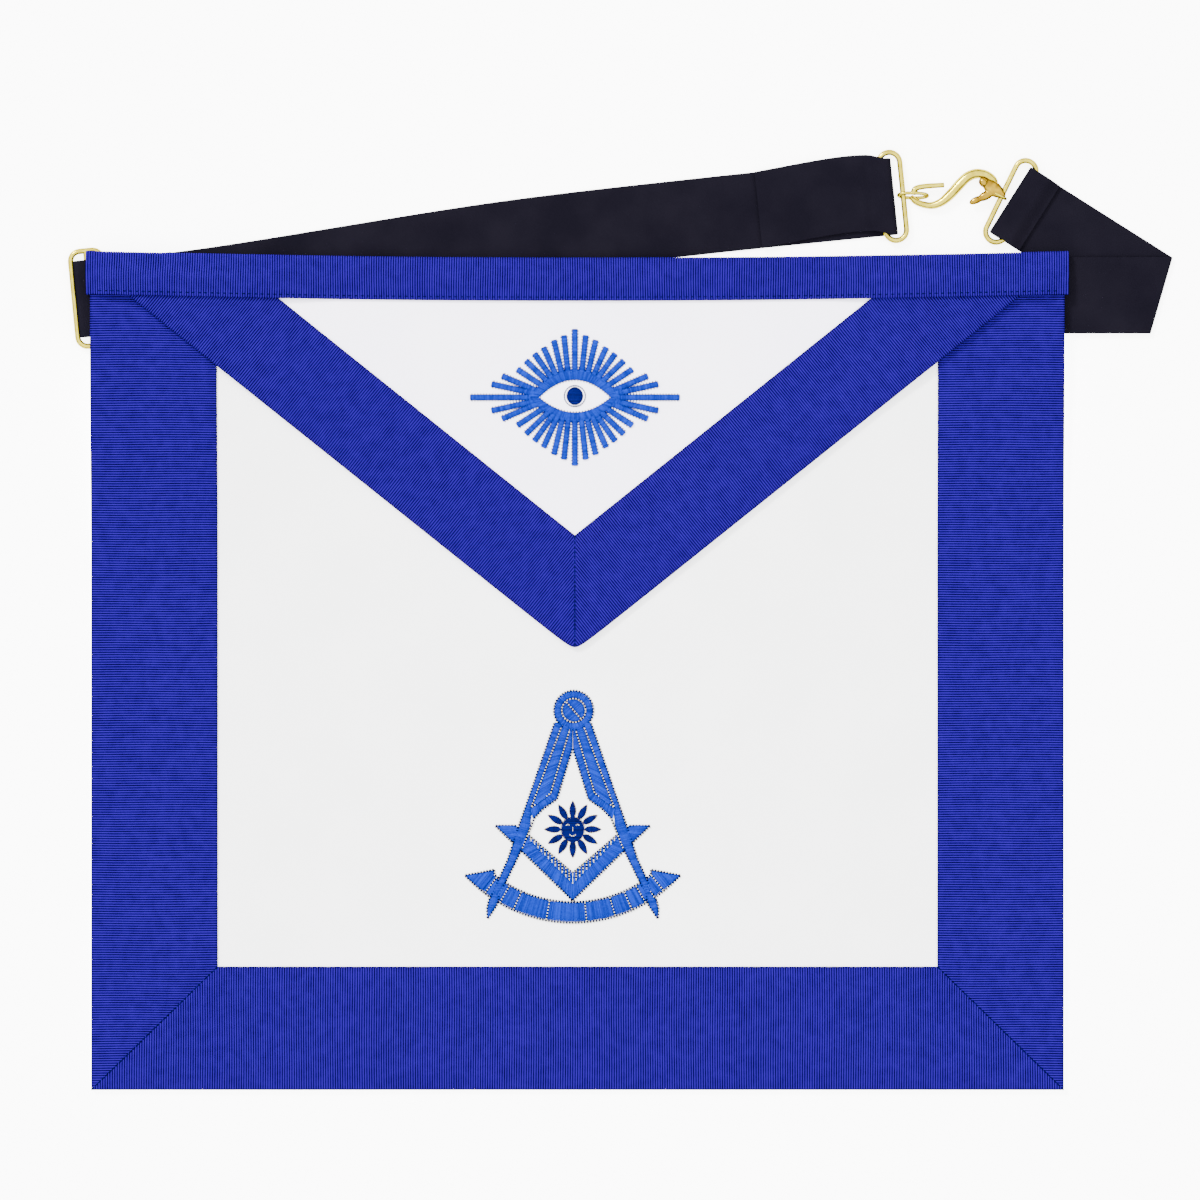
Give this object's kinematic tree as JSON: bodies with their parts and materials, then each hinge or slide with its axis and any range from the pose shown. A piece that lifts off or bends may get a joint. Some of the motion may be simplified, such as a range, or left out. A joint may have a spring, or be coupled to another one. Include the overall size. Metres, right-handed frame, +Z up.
{
  "type": "masonic apron",
  "caption": "White leather lodge apron with blue ribbon borders, pointed flap, embroidered eye and compasses, and a black webbing belt closed by a gold snake hook.",
  "frame": {"origin": "middle of the leather panel, on its underside, which rests on the table", "axes": "+X towards the wearer's left as the apron lies front side up, along the top edge; +Y from the bottom edge towards the belt; +Z up from the table, out of the front"},
  "size_m": [0.4616, 0.3927, 0.0132],
  "materials": {
    "leather": "smooth white apron leather, fine grain, low sheen",
    "ribbon": "royal blue ribbed grosgrain ribbon",
    "webbing": "black woven webbing, matt",
    "gold": "polished pale gold plating",
    "thread": "bright blue satin stitch embroidery",
    "dark_thread": "deep blue satin stitch embroidery"
  },
  "bodies": {
    "root": {"body_panel": "leather", "side_ribbon_left": "ribbon", "side_ribbon_right": "ribbon", "bottom_ribbon": "ribbon", "flap_panel": "leather", "flap_ribbon_left": "ribbon", "flap_ribbon_right": "ribbon", "top_band": "ribbon", "belt_strap_long": "webbing", "belt_strap_short": "webbing", "slider_buckle": "gold", "ring_left": "gold", "ring_right": "gold", "snake_hook": "gold", "eye_embroidery": "thread", "iris_embroidery": "thread", "compasses_embroidery": "thread", "sun_embroidery": "dark_thread"}
  },
  "joints": []
}
